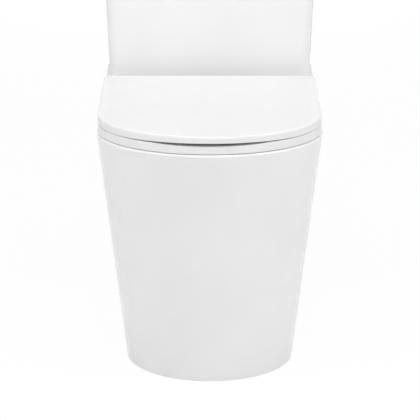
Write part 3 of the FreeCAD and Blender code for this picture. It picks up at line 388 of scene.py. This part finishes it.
def dishedButton(name, half, shape):
    low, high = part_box(half["node"])
    radius = high.x if half["right"] else -low.x
    split = low.x if half["right"] else high.x
    middle = (low.y + high.y) / 2
    centre = ((low.x + high.x) / 2, middle, high.z)
    reach = ((high.x - low.x) / 2, (high.y - low.y) / 2)
    width = reach[0]
    straight = shape["thick"] - shape["edge"]
    bpy.ops.object.select_all(action="DESELECT")
    bpy.ops.mesh.primitive_cylinder_add(vertices=shape["around"], radius=radius, depth=straight,
                                        location=(0, middle, high.z - shape["thick"] + straight / 2))
    top = bpy.context.object
    bpy.ops.object.mode_set(mode="EDIT")
    bpy.ops.mesh.select_all(action="SELECT")
    bpy.ops.mesh.bisect(plane_co=(split, middle, high.z), plane_no=(1, 0, 0), use_fill=True,
                        clear_inner=half["right"], clear_outer=not half["right"])
    pickFaces(top, 1)
    quarter = math.pi / 2
    for turn in range(shape["edgeSteps"]):
        start = quarter * turn / shape["edgeSteps"]
        end = quarter * (turn + 1) / shape["edgeSteps"]
        reach = drawIn(centre, reach, shape["edge"] * (math.cos(start) - math.cos(end)),
                       shape["edge"] * (math.sin(end) - math.sin(start)))
    reach = drawIn(centre, reach, shape["land"] * width, 0)
    for ring in range(shape["rings"]):
        fall = math.cos(quarter * (ring + 0.5) / shape["rings"]) * quarter / shape["rings"]
        reach = drawIn(centre, reach, shape["step"] * width, -shape["dish"] * fall)
    bpy.ops.object.mode_set(mode="OBJECT")
    length = high.z - shape["thick"] - low.z
    bpy.ops.object.select_all(action="DESELECT")
    stemX, stemY = half["stemAt"]
    bpy.ops.mesh.primitive_cylinder_add(vertices=shape["stemAround"], radius=shape["stem"], depth=length,
                                        location=(stemX, middle + stemY, low.z + length / 2))
    stem = bpy.context.object
    pickFaces(stem, -1)
    bpy.ops.mesh.bevel(offset=shape["stemEdge"], segments=shape["stemCuts"], affect="EDGES")
    bpy.ops.object.mode_set(mode="OBJECT")
    settlePiece(joinPieces([top, stem], name), half["body"], "chrome", half["node"])


for halfName, half in buttonHalves.items():
    dishedButton(halfName, half, buttonShape)
print("buttons dished")


# threads, on the bolts that hold the cistern and on the inlet's tail
boltShape = {"around": 24, "crest": 0.004, "root": 0.00345, "pitch": 0.00125, "point": 0.0028,
             "head": 0.0075, "headSides": 6, "headHigh": 0.0055, "headEdge": 0.0007, "headCuts": 2}
tailThread = {"around": 40, "crest": 0.01075, "root": 0.0099, "pitch": 0.0018, "point": 0.0101,
              "low": 0.3685, "high": 0.3938}


def threadedRod(shape, x, y, low, high):
    bpy.ops.object.select_all(action="DESELECT")
    bpy.ops.mesh.primitive_circle_add(vertices=shape["around"], radius=shape["point"], fill_type="NGON",
                                      location=(x, y, low))
    rod = bpy.context.object
    bpy.ops.object.mode_set(mode="EDIT")
    bpy.ops.mesh.select_all(action="SELECT")
    half = shape["pitch"] / 2
    z, radius = low, shape["point"]
    while z + half < high:
        wanted = shape["crest"] if radius != shape["crest"] else shape["root"]
        z += half
        bpy.ops.mesh.extrude_region_move(TRANSFORM_OT_translate={"value": (0, 0, half)})
        grow = wanted / radius
        bpy.ops.transform.resize(value=(grow, grow, 1), center_override=(x, y, z))
        radius = wanted
    bpy.ops.object.mode_set(mode="OBJECT")
    return rod


def headedBolt(shape, x, y, low, high):
    neck = high - shape["headHigh"]
    rod = threadedRod(shape, x, y, low, neck)
    bpy.ops.object.select_all(action="DESELECT")
    bpy.ops.mesh.primitive_cylinder_add(vertices=shape["headSides"], radius=shape["head"],
                                        depth=shape["headHigh"],
                                        location=(x, y, neck + shape["headHigh"] / 2))
    head = bpy.context.object
    pickFaces(head, 1)
    bpy.ops.mesh.bevel(offset=shape["headEdge"], segments=shape["headCuts"], affect="EDGES")
    bpy.ops.object.mode_set(mode="OBJECT")
    return joinPieces([rod, head], "couplingBolt")


low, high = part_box("coupling_bolts")
boltX, boltY = high.x - boltShape["head"], (low.y + high.y) / 2
rightBolt = headedBolt(boltShape, boltX, boltY, low.z, high.z)
leftBolt = copyPiece(rightBolt, (-2 * boltX, 0, 0))
settlePiece(joinPieces([rightBolt, leftBolt], "couplingBolts"), "pan", "stainless_steel", "coupling_bolts")

low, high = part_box("fill_valve_nut")
tailX, tailY = (low.x + high.x) / 2, (low.y + high.y) / 2
tail = threadedRod(tailThread, tailX, tailY, tailThread["low"], tailThread["high"])
tail.name = "inletTailThread"
settlePiece(tail, "pan", "white_plastic")
print("threads cut")


# ribs that stiffen the floor brackets
ribShape = {"thick": 0.004, "fromEnd": 0.003, "reach": 0.028, "rise": 0.033, "edge": 0.0006, "edgeCuts": 2,
            "sink": 0.0008, "behind": 0.0058, "foot": 0.005}


def bracketRibs(bracket, inwards, shape):
    low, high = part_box(bracket)
    wallX = high.x if inwards < 0 else low.x
    size = (shape["reach"], shape["thick"], shape["rise"])
    middle = (wallX + inwards * (shape["behind"] + size[0] / 2), low.y + shape["fromEnd"] + size[1] / 2,
              shape["foot"] + size[2] / 2 - shape["sink"])
    bpy.ops.object.select_all(action="DESELECT")
    bpy.ops.mesh.primitive_cube_add(size=1, location=middle)
    frontRib = bpy.context.object
    bpy.ops.object.mode_set(mode="EDIT")
    bpy.ops.transform.resize(value=size, center_override=middle)
    bpy.ops.mesh.bisect(plane_co=middle, plane_no=(inwards * size[2], 0, size[0]), use_fill=True,
                        clear_outer=True)
    bpy.ops.mesh.select_all(action="SELECT")
    bpy.ops.mesh.bevel(offset=shape["edge"], segments=shape["edgeCuts"], affect="EDGES")
    bpy.ops.object.mode_set(mode="OBJECT")
    backRib = copyPiece(frontRib, (0, high.y - low.y - 2 * shape["fromEnd"] - size[1], 0))
    settlePiece(joinPieces([frontRib, backRib], bracket + "_ribs"), "pan", "white_plastic")


for bracket, inwards in (("floor_bracket_right", -1), ("floor_bracket_left", 1)):
    bracketRibs(bracket, inwards, ribShape)
print("bracket ribs made")


# camera, as the photograph was taken

cameraView = {"ahead": 4.1235, "height": 1.3952, "pitch": 15.903, "side": 0.0005, "lens": 218.41,
              "sensor": 36.0, "farEnd": 50.0}

bpy.ops.object.select_all(action="DESELECT")
bpy.ops.object.camera_add(location=(cameraView["side"], -cameraView["ahead"], cameraView["height"]),
                          rotation=(math.radians(90 - cameraView["pitch"]), 0, 0))
camera = bpy.context.object
camera.name = "photoCamera"
camera.data.lens = cameraView["lens"]
camera.data.sensor_width = cameraView["sensor"]
camera.data.clip_end = cameraView["farEnd"]
scene.camera = camera


# floor and light

studio = {"floorSize": 14.0, "floorPale": (0.80, 0.80, 0.80), "floorWhite": (0.82, 0.82, 0.82),
          "floorCloud": 3.0, "floorRough": 0.8, "floorShine": 0.96, "room": 0.12}


def seenDirectly(tree):
    rays = addNode(tree, "ShaderNodeLightPath")
    seen = rays.outputs["Is Camera Ray"]
    for ray in ("Is Glossy Ray", "Is Transmission Ray"):
        seen = calculate(tree, "MAXIMUM", seen, rays.outputs[ray])
    return seen


def floorFinish(look):
    finish, tree, shader = newFinish("paleFloor")
    patches = cloud(tree, objectPlace(tree), look["floorCloud"])
    tone = twoTone(tree, patches, look["floorPale"], look["floorWhite"])
    tree.links.new(tone, shader.inputs["Base Color"])
    shader.inputs["Roughness"].default_value = look["floorRough"]
    shader.inputs["Specular IOR Level"].default_value = 0.0
    glow = addNode(tree, "ShaderNodeEmission", {"Color": (1, 1, 1, 1), "Strength": 1.0})
    share = calculate(tree, "MULTIPLY", seenDirectly(tree), look["floorShine"])
    both = addNode(tree, "ShaderNodeMixShader", {0: share, 1: shader.outputs[0], 2: glow.outputs[0]})
    tree.links.new(both.outputs[0], tree.nodes["Material Output"].inputs["Surface"])
    return finish


bpy.ops.mesh.primitive_plane_add(size=studio["floorSize"], location=(0, 0, 0))
floor = bpy.context.object
floor.name = "studioFloor"
floor.data.materials.append(floorFinish(studio))

room = bpy.data.worlds.new("studioRoom")
scene.world = room
room.use_nodes = True
roomLight = addNode(room.node_tree, "ShaderNodeMapRange", {"Value": seenDirectly(room.node_tree),
                                                           "To Min": studio["room"], "To Max": 1.0})
room.node_tree.nodes["Background"].inputs["Color"].default_value = (1, 1, 1, 1)
room.node_tree.links.new(roomLight.outputs["Result"], room.node_tree.nodes["Background"].inputs["Strength"])

softboxes = {
    "topBox": {"place": (0.0, 0.2, 9.0), "aim": (0, 0, 0.4), "size": 10.0,
               "power": 60.0, "mirrored": False},
    "skyBox": {"place": (0.0, -1.4, 3.2), "aim": (0, -0.1, 0.4), "size": 4.0,
               "power": 120.0, "mirrored": False},
    "rightBox": {"place": (3.0, -1.3, 1.4), "aim": (0, 0, 0.3), "size": 2.4,
                 "power": 40.0, "mirrored": True},
    "leftBox": {"place": (-3.0, -1.3, 1.4), "aim": (0, 0, 0.3), "size": 2.4,
                "power": 35.0, "mirrored": True},
    "frontBox": {"place": (0.0, -4.4, 2.4), "aim": (0, 0, 0.5), "size": 2.4,
                 "power": 16.0, "mirrored": True},
    "backBox": {"place": (0.0, 3.2, 0.5), "aim": (0, 0.3, 0.35), "size": 1.2,
                "power": 19.0, "mirrored": False},
}
for boxName, box in softboxes.items():
    bpy.ops.object.light_add(type="AREA", location=box["place"])
    lamp = bpy.context.object
    lamp.name = boxName
    lamp.data.size = box["size"]
    lamp.data.energy = box["power"]
    lamp.visible_glossy = box["mirrored"]
    towards = Vector(box["aim"]) - Vector(box["place"])
    lamp.rotation_euler = towards.to_track_quat("-Z", "Y").to_euler()
print("camera, floor and light set")

scene.view_settings.view_transform = "Standard"
